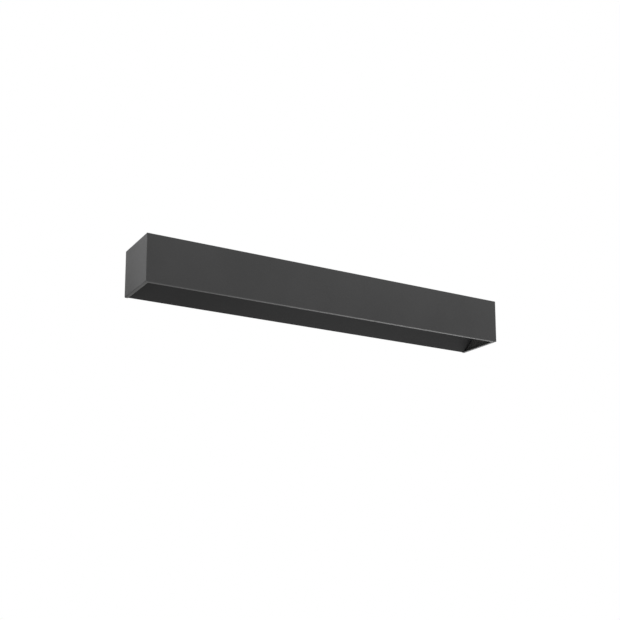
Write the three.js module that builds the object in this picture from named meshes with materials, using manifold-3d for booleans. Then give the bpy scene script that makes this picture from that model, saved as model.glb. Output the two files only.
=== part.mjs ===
// A wall-mounted LED light bar for use over a mirror: a welded sheet-metal shell, open at the
// bottom and towards the wall, hangs by its rail on a wall bracket, and holds a chassis with the
// light source.
//
// Millimetres, +Z up. X runs along the bar, the wall is the plane y = 0 and the front is at -Y.
// The origin is the middle of the bar's height and length, on the wall plane.

import * as THREE from "three";
import { mergeVertices } from "three/addons/utils/BufferGeometryUtils.js";
import Module from "manifold-3d";

const wasm = await Module();
wasm.setup();

// ---- driving dimensions ----

const LENGTH = 600;
const DEPTH = 82;
const HEIGHT = 68;
const SHELL_SHEET = 1.5;
const FRONT_LIP = 5; // width of the folded-in rim along the front
const END_LIP = 5; // width of the folded-in rim along the two ends
const SHELL_BEND = 1.2; // outer radius of the shell's bends and ground corners

const BRACKET_LENGTH = 480;
const BRACKET_SHEET = 1.5;
const HOOK_GAP = 4.5; // from the wall to the back of the bracket's hook
const RAIL_REACH = 16; // how far the hanging rail's upper leg reaches under the shell's top
const HOOK_TOP = 26;
const LIFT = 12; // how far the bar lifts before its rail is clear of the hook

const CHASSIS_SHEET = 1.2;
const CHASSIS_LENGTH = 588;
const CHASSIS_BACK = -14; // the side of the chassis's rear wall that faces the wall
const TRAY_UNDERSIDE = 4;

const BAFFLE_SHEET = 1.5;
const BAFFLE_SLOPE = (40 * Math.PI) / 180; // above the horizontal
const LANDING = -11.25; // height of the baffles' landings, at the middle of their thickness
const LANDING_WIDTH = 3.25;
const WEB_INSET = 1; // from the landing's outer corner back to the middle of the web
const FLANGE_WIDTH = 9;
const BEND_STEPS = 4;

const M3 = 1.5; // shank radii of the screws and studs
const M4 = 2;
const FIT = 0.3; // room around a piece that sits in another

// ---- places that follow from them ----

const end = LENGTH / 2;
const front = -DEPTH;
const top = HEIGHT / 2;
const bottom = -HEIGHT / 2;
const middle = -DEPTH / 2;
const innerEnd = end - SHELL_SHEET;
const innerFront = front + SHELL_SHEET;
const ceiling = top - SHELL_SHEET;
const hookWebTop = HOOK_TOP - LIFT;
const railBottom = hookWebTop + FIT;
const railUnderside = ceiling - SHELL_SHEET;
const trayTop = TRAY_UNDERSIDE + CHASSIS_SHEET;
const chassisFront = CHASSIS_BACK - CHASSIS_SHEET;
const lockX = 200;
const lockY = -9;
const studX = [-265, -110, 110, 265];
const studY = -8.5;

// ---- solids ----

// A closed three.js geometry as a manifold-3d solid.
function solid(geometry) {
  const bare = geometry.index ? geometry.toNonIndexed() : geometry.clone();
  bare.deleteAttribute("normal");
  bare.deleteAttribute("uv");
  const merged = mergeVertices(bare, 1e-4);
  return new wasm.Manifold(
    new wasm.Mesh({
      numProp: 3,
      vertProperties: merged.attributes.position.array,
      triVerts: new Uint32Array(merged.index.array),
    }),
  );
}

// A manifold-3d solid as a three.js geometry with flat faces.
function geometryOf(body) {
  const mesh = body.getMesh();
  const geometry = new THREE.BufferGeometry();
  geometry.setAttribute("position", new THREE.BufferAttribute(mesh.vertProperties, 3));
  geometry.setIndex(new THREE.BufferAttribute(mesh.triVerts, 1));
  const flat = geometry.toNonIndexed();
  flat.computeVertexNormals();
  return flat;
}

const joined = (bodies) => bodies.reduce((whole, body) => whole.add(body));
const without = (body, cuts) => cuts.reduce((rest, cut) => rest.subtract(cut), body);

function box([x0, x1], [y0, y1], [z0, z1]) {
  const geometry = new THREE.BoxGeometry(x1 - x0, y1 - y0, z1 - z0);
  return solid(geometry.translate((x0 + x1) / 2, (y0 + y1) / 2, (z0 + z1) / 2));
}

// A cylinder or cone between two points, with a radius at each.
function rod(from, to, radius, endRadius = radius, sides = 16) {
  const a = new THREE.Vector3(...from);
  const b = new THREE.Vector3(...to);
  const axis = b.clone().sub(a);
  const turn = new THREE.Quaternion().setFromUnitVectors(
    new THREE.Vector3(0, 1, 0),
    axis.clone().normalize(),
  );
  const geometry = new THREE.CylinderGeometry(endRadius, radius, axis.length(), sides);
  const place = a.add(b).multiplyScalar(0.5);
  return solid(geometry.applyQuaternion(turn).translate(place.x, place.y, place.z));
}

function extruded(outline, depth) {
  const shape = new THREE.Shape(outline.map(([a, b]) => new THREE.Vector2(a, b)));
  return new THREE.ExtrudeGeometry(shape, { depth, bevelEnabled: false });
}

// A closed outline in the Y-Z plane, carried along X.
function alongX(outline, x0, x1) {
  const axes = new THREE.Matrix4().makeBasis(
    new THREE.Vector3(0, 1, 0),
    new THREE.Vector3(0, 0, 1),
    new THREE.Vector3(1, 0, 0),
  );
  return solid(extruded(outline, x1 - x0).applyMatrix4(axes).translate(x0, 0, 0));
}

// A ring or plug turned about Z: its profile is a list of [radius, height] points.
function turned(profile, sides = 24) {
  const points = profile.map(([r, z]) => new THREE.Vector2(r, z));
  return solid(new THREE.LatheGeometry(points, sides).rotateX(Math.PI / 2));
}

function tube(points, radius, steps) {
  const circle = new THREE.Shape().absarc(0, 0, radius, 0, 2 * Math.PI);
  const path = new THREE.CatmullRomCurve3(points.map((p) => new THREE.Vector3(...p)));
  return new THREE.ExtrudeGeometry(circle, { extrudePath: path, steps, curveSegments: 8 });
}

// ---- sheet metal ----

function unit(from, to) {
  const length = Math.hypot(to[0] - from[0], to[1] - from[1]);
  return [(to[0] - from[0]) / length, (to[1] - from[1]) / length];
}

// The path with each inner corner turned into an arc of the given radius.
function bent(path, radius) {
  const points = [path[0]];
  for (let i = 1; i < path.length - 1; i++) {
    const a = unit(path[i - 1], path[i]);
    const b = unit(path[i], path[i + 1]);
    const turn = Math.acos(a[0] * b[0] + a[1] * b[1]);
    const side = Math.sign(a[0] * b[1] - a[1] * b[0]);
    const tangent = radius * Math.tan(turn / 2);
    const start = [path[i][0] - a[0] * tangent, path[i][1] - a[1] * tangent];
    const centre = [start[0] - a[1] * radius * side, start[1] + a[0] * radius * side];
    for (let k = 0; k <= BEND_STEPS; k++) {
      const angle = (side * turn * k) / BEND_STEPS;
      const [ry, rz] = [start[0] - centre[0], start[1] - centre[1]];
      points.push([
        centre[0] + ry * Math.cos(angle) - rz * Math.sin(angle),
        centre[1] + ry * Math.sin(angle) + rz * Math.cos(angle),
      ]);
    }
  }
  return [...points, path[path.length - 1]];
}

// The outline of a sheet of a thickness whose middle follows the path.
function sheet(path, thickness) {
  const side = (sign) =>
    path.map(([y, z], i) => {
      const a = unit(path[Math.max(i - 1, 0)], path[Math.max(i, 1)]);
      const last = path.length - 1;
      const b = unit(path[Math.min(i, last - 1)], path[Math.min(i + 1, last)]);
      const reach = (sign * thickness) / 2 / (1 + a[0] * b[0] + a[1] * b[1]);
      return [y - (a[1] + b[1]) * reach, z + (a[0] + b[0]) * reach];
    });
  return [...side(1), ...side(-1).reverse()];
}

const folded = (path, thickness, radius, x0, x1) =>
  alongX(sheet(bent(path, radius), thickness), x0, x1);

// ---- materials ----

function paint(colour, roughness) {
  return new THREE.MeshStandardMaterial({ color: colour, roughness, metalness: 0 });
}

function metal(colour, roughness) {
  return new THREE.MeshStandardMaterial({ color: colour, roughness, metalness: 1 });
}

const shellPaint = paint(0x474747, 0.45);
const bafflePaint = paint(0x333333, 0.6);
const trayPaint = paint(0xe6e6e2, 0.5);
const zincSteel = metal(0xb4b8bb, 0.4);
const screwSteel = metal(0xc6c8ca, 0.3);
const opal = paint(0xf1f0ea, 0.4);
const boardWhite = paint(0xf4f4f0, 0.4);
const boardGreen = paint(0x1f5a35, 0.5);
const casePlastic = paint(0xdedfdc, 0.5);
const terminalPlastic = paint(0x8d9094, 0.5);
const leverPlastic = paint(0xd9741b, 0.45);
const ferrite = paint(0x2b2b2d, 0.7);
const sleeve = paint(0x23262b, 0.35);
const rubber = paint(0x1b1b1b, 0.85);
const brownWire = paint(0x5a3420, 0.5);
const blueWire = paint(0x2a55a8, 0.5);
const earthWire = paint(0x6f9a2c, 0.5);
const redWire = paint(0xa82420, 0.5);
const blackWire = paint(0x1d1d1f, 0.5);

const bar = new THREE.Group();

function add(name, geometry, material, place = [0, 0, 0]) {
  const mesh = new THREE.Mesh(geometry, material);
  mesh.name = name;
  mesh.position.set(...place);
  bar.add(mesh);
}

const addSolid = (name, body, material, place) => add(name, geometryOf(body), material, place);

// ---- fasteners, each built with its seat at the origin and its shank down -Z ----

const HEX_DEPTH = 0.6; // share of the head's height

function screw(shank, length, head, headHeight) {
  const body = turned(
    [
      [0, -length],
      [shank - 0.4, -length],
      [shank, -length + 0.5],
      [shank, 0],
      [head, 0],
      [head, headHeight * 0.6],
      [head * 0.75, headHeight],
      [0, headHeight],
    ],
    16,
  );
  const floor = headHeight * (1 - HEX_DEPTH);
  const socket = rod([0, 0, floor], [0, 0, headHeight + 1], head * 0.45, head * 0.45, 6);
  return body.subtract(socket);
}

function countersunkScrew(shank, length, head, headHeight) {
  const body = turned(
    [
      [0, -length],
      [shank - 0.4, -length],
      [shank, -length + 0.5],
      [shank, -headHeight],
      [head, -0.2],
      [head, 0],
      [0, 0],
    ],
    16,
  );
  const socket = rod([0, 0, -headHeight * 0.7], [0, 0, 1], head * 0.38, head * 0.38, 6);
  return body.subtract(socket);
}

function nut(bore, flats, height) {
  const hexagon = rod([0, 0, -height], [0, 0, 0], flats / Math.sqrt(3), flats / Math.sqrt(3), 6);
  return hexagon.subtract(rod([0, 0, -height - 1], [0, 0, 1], bore));
}

// ---- wall bracket: a folded strip whose hook stands off the wall and takes the rail ----

function wallBracket() {
  const plate = -BRACKET_SHEET / 2;
  const hook = -HOOK_GAP - BRACKET_SHEET / 2;
  const web = hookWebTop - BRACKET_SHEET / 2;
  const half = BRACKET_LENGTH / 2;
  const plateBottom = -6;
  const path = [
    [plate, plateBottom],
    [plate, web],
    [hook, web],
    [hook, HOOK_TOP],
  ];
  const strip = folded(path, BRACKET_SHEET, 1.2, -half, half);
  const tab = 10; // half the width of a lock screw's tab
  const tabs = [-lockX, lockX].map((x) =>
    box([x - tab, x + tab], [lockY - 3.5, -HOOK_GAP], [HOOK_TOP - BRACKET_SHEET, HOOK_TOP]),
  );
  const lockHoles = [-lockX, lockX].map((x) =>
    rod([x, lockY, HOOK_TOP - 4], [x, lockY, HOOK_TOP + 4], M3 + FIT),
  );
  // Two windows for the supply cable, with a post between them, and a slot for each wall screw.
  const post = 10;
  const windowEnd = 76;
  const windows = [-1, 1].map((s) =>
    box([s * post, s * windowEnd].sort((a, b) => a - b), [-9, 1], [-1.5, HOOK_TOP + 1]),
  );
  const slotX = 150;
  const slotRadius = 2.75;
  const slotHalf = 7.25;
  const slotZ = 3;
  const slots = [-slotX, slotX].flatMap((x) => [
    box([x - slotHalf, x + slotHalf], [-3, 1], [slotZ - slotRadius, slotZ + slotRadius]),
    ...[x - slotHalf, x + slotHalf].map((c) => rod([c, -3, slotZ], [c, 1, slotZ], slotRadius)),
  ]);
  return without(joined([strip, ...tabs]), [...lockHoles, ...windows, ...slots]);
}

// ---- shell: front, top and ends in one welded piece, with folded-in rims, and its rail ----

// The shell's outer form: its outlines from the end, the front and above, crossed.
function roundedBlock() {
  const fromEnd = [
    [0, bottom],
    [front, bottom],
    [front, top],
    [0, top],
  ];
  const fromFront = [
    [0, bottom],
    [-end, bottom],
    [-end, top],
    [end, top],
    [end, bottom],
    [0, bottom],
  ];
  const fromAbove = [
    [-end, 0],
    [-end, front],
    [end, front],
    [end, 0],
  ];
  const facingFront = extruded(bent(fromFront, SHELL_BEND).slice(1), DEPTH).rotateX(Math.PI / 2);
  const facingUp = extruded(bent(fromAbove, SHELL_BEND), HEIGHT).translate(0, 0, bottom);
  return alongX(bent(fromEnd, SHELL_BEND), -end, end)
    .intersect(solid(facingFront))
    .intersect(solid(facingUp));
}

function shell() {
  const ends = [-innerEnd, innerEnd];
  const cavity = box(ends, [innerFront, -SHELL_SHEET], [bottom + SHELL_SHEET, ceiling]);
  const mouthEnd = end - END_LIP;
  const mouth = box([-mouthEnd, mouthEnd], [front + FRONT_LIP, 1], [bottom - 1, bottom + 2]);
  const back = box(ends, [-SHELL_SHEET - 1, 1], [bottom + SHELL_SHEET, ceiling]);
  const lockHoles = [-lockX, lockX].flatMap((x) => [
    rod([x, lockY, ceiling - 1], [x, lockY, top + 1], M3 + FIT),
    rod([x, lockY, ceiling], [x, lockY, top + FIT], M3 + FIT, 3.6),
  ]);
  const studs = studX.map((x) => rod([x, studY, ceiling + 0.5], [x, studY, ceiling - 6.6], M4));
  const body = without(roundedBlock(), [cavity, mouth, back, ...lockHoles]);
  return joined([body, ...studs]);
}

function hangingRail() {
  const half = SHELL_SHEET / 2;
  const path = [
    [-RAIL_REACH, ceiling - half],
    [-half, ceiling - half],
    [-half, railBottom],
  ];
  const reach = innerEnd - FIT;
  const down = (x, y, radius) => rod([x, y, ceiling + 1], [x, y, railUnderside - 1], radius);
  return without(folded(path, SHELL_SHEET, 1.2, -reach, reach), [
    ...studX.map((x) => down(x, studY, M4 + FIT)),
    ...[-lockX, lockX].map((x) => down(x, lockY, M3 + FIT)),
  ]);
}

// ---- chassis: a fixing flange under the rail, a rear wall with two windows, and the tray ----

const grommetPlace = [42, 17]; // the supply cable's grommet in the cable plate, x and z
const grommetHole = 6.6;
const plateScrews = [-16.5, 16.5].map((dx) => [grommetPlace[0] + dx, grommetPlace[1]]);
const terminalX = -42;
const ledGrommet = [-288, middle]; // the grommet for the light source's wires, x and y
const ledGrommetHole = 4;
const earthPlace = [-12, -71.5];
const baffleScrewX = [-272, -72, 72, 272];
const baffleScrewY = [middle - 20.75, middle + 20.75];
const driverEnds = [-255, -90];
const driverEarY = -71;
const driverEarReach = 5;

function chassis() {
  const half = CHASSIS_SHEET / 2;
  const path = [
    [-3, railUnderside - half],
    [CHASSIS_BACK - half, railUnderside - half],
    [CHASSIS_BACK - half, TRAY_UNDERSIDE + half],
    [innerFront + 1.6, TRAY_UNDERSIDE + half],
    [innerFront + 1.6, TRAY_UNDERSIDE + 10],
  ];
  const reach = CHASSIS_LENGTH / 2;
  const body = folded(path, CHASSIS_SHEET, 1.2, -reach, reach);
  const down = (x, y, radius) => rod([x, y, ceiling], [x, y, railUnderside - 3], radius);
  const wallHole = ([x, z]) => rod([x, chassisFront - 1, z], [x, CHASSIS_BACK + 1, z], M3 + FIT);
  const through = (x, y, radius) => rod([x, y, trayTop + 1], [x, y, TRAY_UNDERSIDE - 1], radius);
  const [gx, gz] = grommetPlace;
  return without(body, [
    ...studX.map((x) => down(x, studY, M4 + FIT)),
    ...[-lockX, lockX].map((x) => down(x, lockY, 3.4)),
    box([terminalX - 24, terminalX + 24], [chassisFront - 1, CHASSIS_BACK + 1], [7, 27]),
    box([gx - 12, gx + 12], [chassisFront - 1, CHASSIS_BACK + 1], [gz - 8.6, gz + 8.6]),
    ...plateScrews.map(wallHole),
    through(...ledGrommet, ledGrommetHole),
    through(...earthPlace, M4 + FIT),
    ...baffleScrewX.flatMap((x) => baffleScrewY.map((y) => through(x, y, M3 + FIT))),
    ...driverEnds.map((x, i) => through(x + (i ? 1 : -1) * driverEarReach, driverEarY, M3 + FIT)),
  ]);
}

// The plate over the second window, which carries the cable's grommet.
function cablePlate() {
  const [gx, gz] = grommetPlace;
  const sides = [chassisFront - CHASSIS_SHEET, chassisFront];
  const plate = box([gx - 21, gx + 21], sides, [gz - 10.2, gz + 10.8]);
  const hole = ([x, z], radius, count) =>
    rod([x, sides[0] - 1, z], [x, sides[1] + 1, z], radius, radius, count);
  return without(plate, [
    hole(grommetPlace, grommetHole, 24),
    ...plateScrews.map((place) => hole(place, M3 + FIT, 16)),
  ]);
}

// ---- baffles: sloped from the mouth up to landings that carry the lens ----

const landingEdge = LANDING_WIDTH;
const baffleEnd = innerEnd - FIT;
const webTop = TRAY_UNDERSIDE - BAFFLE_SHEET / 2;

// The rear baffle's bottom corner: where the middles of its back flange and its slope cross.
const rearCorner = [
  -BAFFLE_SHEET / 2,
  bottom + FIT + 1 + BAFFLE_SHEET / 2 - Math.tan(Math.PI / 4 + BAFFLE_SLOPE / 2),
];
const landingCorner = rearCorner[0] - (LANDING - rearCorner[1]) / Math.tan(BAFFLE_SLOPE);

function baffleRear() {
  const slope = [
    [rearCorner[0], bottom + 14.5],
    rearCorner,
    [landingCorner, LANDING],
    [landingCorner - landingEdge, LANDING],
  ];
  const webY = landingCorner + WEB_INSET;
  const web = [
    [webY, LANDING - 0.75],
    [webY, webTop],
    [webY + FLANGE_WIDTH, webTop],
  ];
  const body = joined([
    folded(slope, BAFFLE_SHEET, 1, -baffleEnd, baffleEnd),
    folded(web, BAFFLE_SHEET, 1, -baffleEnd, baffleEnd),
  ]);
  // The ends of the shell's rim pass under the sheet here.
  const clear = end - END_LIP - FIT;
  const notches = [-1, 1].map((s) =>
    box([s * clear, s * end].sort((a, b) => a - b), [-9, 1], [bottom - 1, bottom + 1.8]),
  );
  return without(body, [...notches, ...baffleScrewHoles(baffleScrewY[1])]);
}

function baffleFront() {
  const corner = -DEPTH - landingCorner;
  const foot = bottom + SHELL_SHEET + BAFFLE_SHEET / 2;
  const slopeStart = corner - (LANDING - foot) / Math.tan(BAFFLE_SLOPE);
  const slope = [
    [innerFront + FIT, foot],
    [slopeStart, foot],
    [corner, LANDING],
    [corner + landingEdge, LANDING],
  ];
  const webY = corner - WEB_INSET;
  const web = [
    [webY, LANDING - 0.75],
    [webY, webTop],
    [webY - FLANGE_WIDTH, webTop],
  ];
  const body = joined([
    folded(slope, BAFFLE_SHEET, 1, -baffleEnd, baffleEnd),
    folded(web, BAFFLE_SHEET, 1, -baffleEnd, baffleEnd),
  ]);
  return without(body, baffleScrewHoles(baffleScrewY[0]));
}

function baffleScrewHoles(y) {
  const from = TRAY_UNDERSIDE + 1;
  return baffleScrewX.map((x) => rod([x, y, from], [x, y, from - 4], M3 + FIT));
}

// ---- light source: an opal lens on the landings and two boards under the tray ----

const LENS_SHEET = 1.5;
const BOARD_WIDTH = 22;
const BOARD_THICKNESS = 1.6;
const CHIPS = 20;
const CHIP_PITCH = 13.6;
const boardStart = 2;
const boardEnd = 280;

function lens() {
  const edge = -landingCorner - WEB_INSET + BAFFLE_SHEET / 2 + 1.4; // inside the webs
  const floor = LANDING + BAFFLE_SHEET / 2 + LENS_SHEET / 2;
  const path = [
    [-DEPTH + edge + 0.6, floor + 5],
    [-DEPTH + edge + 0.6, floor],
    [-edge - 0.6, floor],
    [-edge - 0.6, floor + 5],
  ];
  return folded(path, LENS_SHEET, 1, -baffleEnd + 0.5, baffleEnd - 0.5);
}

function ledBoard(side) {
  const under = TRAY_UNDERSIDE - BOARD_THICKNESS;
  const along = [side * boardStart, side * boardEnd].sort((a, b) => a - b);
  const across = [middle - BOARD_WIDTH / 2, middle + BOARD_WIDTH / 2];
  const board = box(along, across, [under, TRAY_UNDERSIDE]);
  const chips = [];
  for (let i = 0; i < CHIPS; i++) {
    const x = side * (boardStart + 9.5 + i * CHIP_PITCH);
    chips.push(box([x - 1.4, x + 1.4], [middle - 1.75, middle + 1.75], [under - 0.8, under + 0.1]));
  }
  return joined([board, ...chips]);
}

function boardBridge() {
  const under = TRAY_UNDERSIDE - BOARD_THICKNESS;
  const body = box([-9, 9], [middle + 4, middle + 10], [under - 3, under]);
  const groove = box([-2, 2], [middle + 3, middle + 11], [under - 4, under - 2]);
  return body.subtract(groove);
}

// ---- driver: a two-part case on the tray with its circuit inside ----

const driverSides = [-74, -32];
const driverTop = 25;
const driverWall = 1.5;
const driverBoardZ = 9;

function driverCase() {
  const [x0, x1] = driverEnds;
  const [y0, y1] = driverSides;
  const w = driverWall;
  const outer = box([x0, x1], [y0, y1], [trayTop, driverTop]);
  const inner = box([x0 + w, x1 - w], [y0 + w, y1 - w], [trayTop + w, driverTop + 1]);
  const ears = driverEnds.map((x, i) => {
    const s = i ? 1 : -1;
    const span = [x - s, x + s * (driverEarReach + 4)].sort((a, b) => a - b);
    const ear = box(span, [driverEarY - 5, driverEarY + 5], [trayTop, trayTop + 2]);
    const hole = [x + s * driverEarReach, driverEarY];
    return ear.subtract(rod([...hole, trayTop - 1], [...hole, trayTop + 3], M3 + FIT));
  });
  const posts = [x0 + 12, x1 - 12].flatMap((x) =>
    [y0 + 7, y1 - 7].map((y) => box([x - 2, x + 2], [y - 2, y + 2], [trayTop, driverBoardZ])),
  );
  const wireSlots = [
    box([x0 - 1, x0 + w + 1], [y1 - 22, y1 - 10], [12, 18]),
    box([x1 - w - 1, x1 + 1], [y1 - 24, y1 - 12], [12, 18]),
  ];
  const shellOnly = without(outer, [inner, ...wireSlots]);
  // Each ear starts inside the wall, so the joint with the hollow case is cut clean again.
  return joined([without(joined([shellOnly, ...ears]), [inner]), ...posts]);
}

function driverLid() {
  const [x0, x1] = driverEnds;
  const [y0, y1] = driverSides;
  const w = driverWall + FIT;
  const plate = box([x0, x1], [y0, y1], [driverTop, driverTop + 1.8]);
  const plug = box([x0 + w, x1 - w], [y0 + w, y1 - w], [driverTop - 2, driverTop + 0.5]);
  const hollow = box([x0 + w + 2, x1 - w - 2], [y0 + w + 2, y1 - w - 2], [driverTop - 3, driverTop]);
  return joined([plate, plug]).subtract(hollow);
}

function driverBoard() {
  const [x0, x1] = driverEnds;
  const [y0, y1] = driverSides;
  const gap = driverWall + 1;
  return box([x0 + gap, x1 - gap], [y0 + gap, y1 - gap], [driverBoardZ, driverBoardZ + 1.6]);
}

const onBoard = driverBoardZ + 1.6;

// A ferrite core round a bobbin.
function transformer() {
  const [x, y] = [-176, -53];
  const core = box([x - 11, x + 11], [y - 10, y + 10], [onBoard, onBoard + 12]);
  const windows = [-1, 1].map((s) =>
    box([x + s * 4, x + s * 8].sort((a, b) => a - b), [y - 11, y + 11], [onBoard + 3, onBoard + 9]),
  );
  const bobbin = box([x - 9.5, x + 9.5], [y - 13, y + 13], [onBoard + 4, onBoard + 8]);
  return joined([without(core, windows), bobbin]);
}

function capacitor() {
  const [y, z] = [-60, onBoard + 5.1];
  const can = rod([-135, y, z], [-115, y, z], 5, 5, 20);
  const groove = without(rod([-119, y, z], [-118, y, z], 6, 6, 20), [
    rod([-119.5, y, z], [-117.5, y, z], 4.5, 4.5, 20),
  ]);
  return can.subtract(groove);
}

// A wound toroid standing on the board.
function choke() {
  const ring = [];
  for (let k = 0; k <= 8; k++) {
    const angle = (2 * Math.PI * k) / 8;
    ring.push([5.2 + 2.2 * Math.cos(angle), 2.4 * Math.sin(angle)]);
  }
  return turned(ring.map(([r, z]) => [r, z + 2.4]), 20);
}

function solderTerminal(x) {
  const y = (driverSides[0] + driverSides[1]) / 2 + 4;
  const body = box([x - 5, x + 5], [y - 7, y + 7], [onBoard, onBoard + 9]);
  const holes = [-3, 3].map((dy) => rod([x, y + dy, onBoard + 5], [x, y + dy, onBoard + 10], 1.6));
  return without(body, holes);
}

// ---- supply terminal: a block with three levers, one for each conductor ----

const LEVER_PITCH = 11;
const LEVER_HALF = 4.1;
const CHEEK_HALF = 1.2;
const blockSides = [-38, -18];
const blockTop = 15.2;
const leverAxis = [-34.4, 16.9]; // y and z of the levers' hinge line
const leverNames = ["line", "neutral", "earth"];
const leverX = leverNames.map((name, i) => terminalX + (i - 1) * LEVER_PITCH);

function terminalBlock() {
  const [y0, y1] = blockSides;
  const half = 1.5 * LEVER_PITCH + CHEEK_HALF;
  const profile = [
    [y0, trayTop],
    [y1, trayTop],
    [y1, blockTop - 3],
    [y1 - 3, blockTop],
    [y0, blockTop],
  ];
  const body = alongX(profile, terminalX - half, terminalX + half);
  const cheeks = [-1.5, -0.5, 0.5, 1.5].map((k) => {
    const x = terminalX + k * LEVER_PITCH;
    const span = [x - CHEEK_HALF, x + CHEEK_HALF];
    return box(span, [y0, leverAxis[0] + 2.6], [blockTop - 0.5, leverAxis[1] + 1.8]);
  });
  const pin = rod([terminalX - half + 0.8, ...leverAxis], [terminalX + half - 0.8, ...leverAxis], 1);
  const entries = leverX.flatMap((x) => [
    rod([x, y0 - 1, 10], [x, y0 + 7, 10], 1.6, 1.6, 12),
    rod([x, y1 - 7, 9.5], [x, y1 + 1, 9.5], 2.1, 2.1, 12),
  ]);
  return without(joined([body, ...cheeks]), [pin, ...entries]);
}

// A lever lying closed on the block, with its hinge line through the origin.
function lever() {
  const barrel = rod([-LEVER_HALF, 0, 0], [LEVER_HALF, 0, 0], 1.5);
  const stubs = rod([-LEVER_HALF - 0.9, 0, 0], [LEVER_HALF + 0.9, 0, 0], 0.75, 0.75, 12);
  const arm = alongX(
    [
      [0, -1.2],
      [11, -1.2],
      [12.6, -0.4],
      [12.6, 1.2],
      [9.5, 0.8],
      [0, 1.3],
    ],
    -LEVER_HALF,
    LEVER_HALF,
  );
  return joined([barrel, stubs, arm]);
}

// ---- grommets, and the earth lug ----

function grommet(hole, bore, lip, sheetThickness) {
  const half = sheetThickness / 2 + 0.15;
  return turned([
    [bore, -half - lip],
    [hole + lip, -half - lip],
    [hole + lip, -half],
    [hole - 0.25, -half],
    [hole - 0.25, half],
    [hole + lip, half],
    [hole + lip, half + lip],
    [bore, half + lip],
    [bore, -half - lip],
  ]);
}

function earthLug() {
  const [x, y] = earthPlace;
  const at = (z) => [x, y, z];
  const ring = rod(at(trayTop), at(trayTop + 0.8), 4.5, 4.5, 20);
  const tongue = box([x - 2, x + 2], [y, y + 9], [trayTop, trayTop + 0.8]);
  const barrel = rod([x, y + 7, trayTop + 1.9], [x, y + 13, trayTop + 1.9], 1.9, 1.9, 12);
  const bore = rod([x, y + 9, trayTop + 1.9], [x, y + 14, trayTop + 1.9], 1.45, 1.45, 12);
  const hole = rod(at(trayTop - 1), at(trayTop + 2), M4 + FIT);
  return without(joined([ring, tongue, barrel]), [bore, hole]);
}

// ---- the assembly ----

addSolid("wall_bracket", wallBracket(), zincSteel);
addSolid("housing_shell", shell(), shellPaint);
addSolid("hanging_rail", hangingRail(), shellPaint);
addSolid("chassis", chassis(), trayPaint);
addSolid("cable_plate", cablePlate(), zincSteel);
addSolid("baffle_front", baffleFront(), bafflePaint);
addSolid("baffle_rear", baffleRear(), bafflePaint);
addSolid("lens", lens(), opal);
addSolid("led_board_left", ledBoard(-1), boardWhite);
addSolid("led_board_right", ledBoard(1), boardWhite);
addSolid("board_bridge", boardBridge(), casePlastic);

addSolid("driver_case", driverCase(), casePlastic);
addSolid("driver_lid", driverLid(), casePlastic);
addSolid("driver_board", driverBoard(), boardGreen);
addSolid("driver_transformer", transformer(), ferrite);
addSolid("driver_capacitor", capacitor(), sleeve);
addSolid("driver_choke", choke(), ferrite, [-205, -46, onBoard]);
addSolid("driver_terminal_in", solderTerminal(-99), terminalPlastic);
addSolid("driver_terminal_out", solderTerminal(-246), terminalPlastic);

addSolid("terminal_block", terminalBlock(), terminalPlastic);
leverNames.forEach((name, i) => {
  addSolid(`terminal_lever_${name}`, lever(), leverPlastic, [leverX[i], ...leverAxis]);
});

const plateMiddle = chassisFront - CHASSIS_SHEET / 2;
const cableGrommet = geometryOf(grommet(grommetHole, 4, 1.6, CHASSIS_SHEET)).rotateX(Math.PI / 2);
add("cable_grommet", cableGrommet, rubber, [grommetPlace[0], plateMiddle, grommetPlace[1]]);
const wireGrommet = grommet(ledGrommetHole, 2.6, 1.2, CHASSIS_SHEET);
addSolid("wire_grommet", wireGrommet, rubber, [...ledGrommet, TRAY_UNDERSIDE + CHASSIS_SHEET / 2]);

addSolid("earth_lug", earthLug(), screwSteel);
addSolid("earth_screw", screw(M4, 8, 3.9, 2.4), screwSteel, [...earthPlace, trayTop + 0.8]);

studX.forEach((x, i) => {
  const place = [x, studY, railUnderside - CHASSIS_SHEET];
  addSolid(`chassis_nut_${i + 1}`, nut(M4 + 0.15, 7, 2.2), screwSteel, place);
});

[-1, 1].forEach((side) => {
  const body = countersunkScrew(M3, 13, 2.9, 1.6);
  const name = side < 0 ? "lock_screw_left" : "lock_screw_right";
  addSolid(name, body, screwSteel, [side * lockX, lockY, top]);
});

["front", "rear"].forEach((row, i) => {
  baffleScrewX.forEach((x, k) => {
    const place = [x, baffleScrewY[i], trayTop];
    addSolid(`baffle_screw_${row}_${k + 1}`, screw(M3, 5, 2.8, 1.9), screwSteel, place);
  });
});

plateScrews.forEach(([x, z], i) => {
  const head = geometryOf(screw(M3, 5, 2.8, 1.9)).rotateX(Math.PI / 2);
  add(`plate_screw_${i + 1}`, head, screwSteel, [x, chassisFront - CHASSIS_SHEET, z]);
});

driverEnds.forEach((x, i) => {
  const place = [x + (i ? 1 : -1) * driverEarReach, driverEarY, trayTop + 2];
  addSolid(`driver_screw_${i + 1}`, screw(M3, 6, 2.8, 1.9), screwSteel, place);
});

// Single-core wires, each from the place where it leaves one piece to where it enters the next.
const MAINS_WIRE = 1.1;
const LED_WIRE = 0.8;
const blockFront = blockSides[0] - FIT;
const driverRight = driverEnds[1] + FIT;
const driverLeft = driverEnds[0] - FIT;

function mainsRoute(x, lead) {
  return [
    [x, blockFront, 10],
    [x, blockFront - 4 - lead, 10],
    [x - 9, blockFront - 10 - lead, 10.5],
    [driverRight + 14, -50 - lead, 13],
    [driverRight + 5, -50 - lead, 15],
    [driverRight, -50 - lead, 15],
  ];
}

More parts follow.
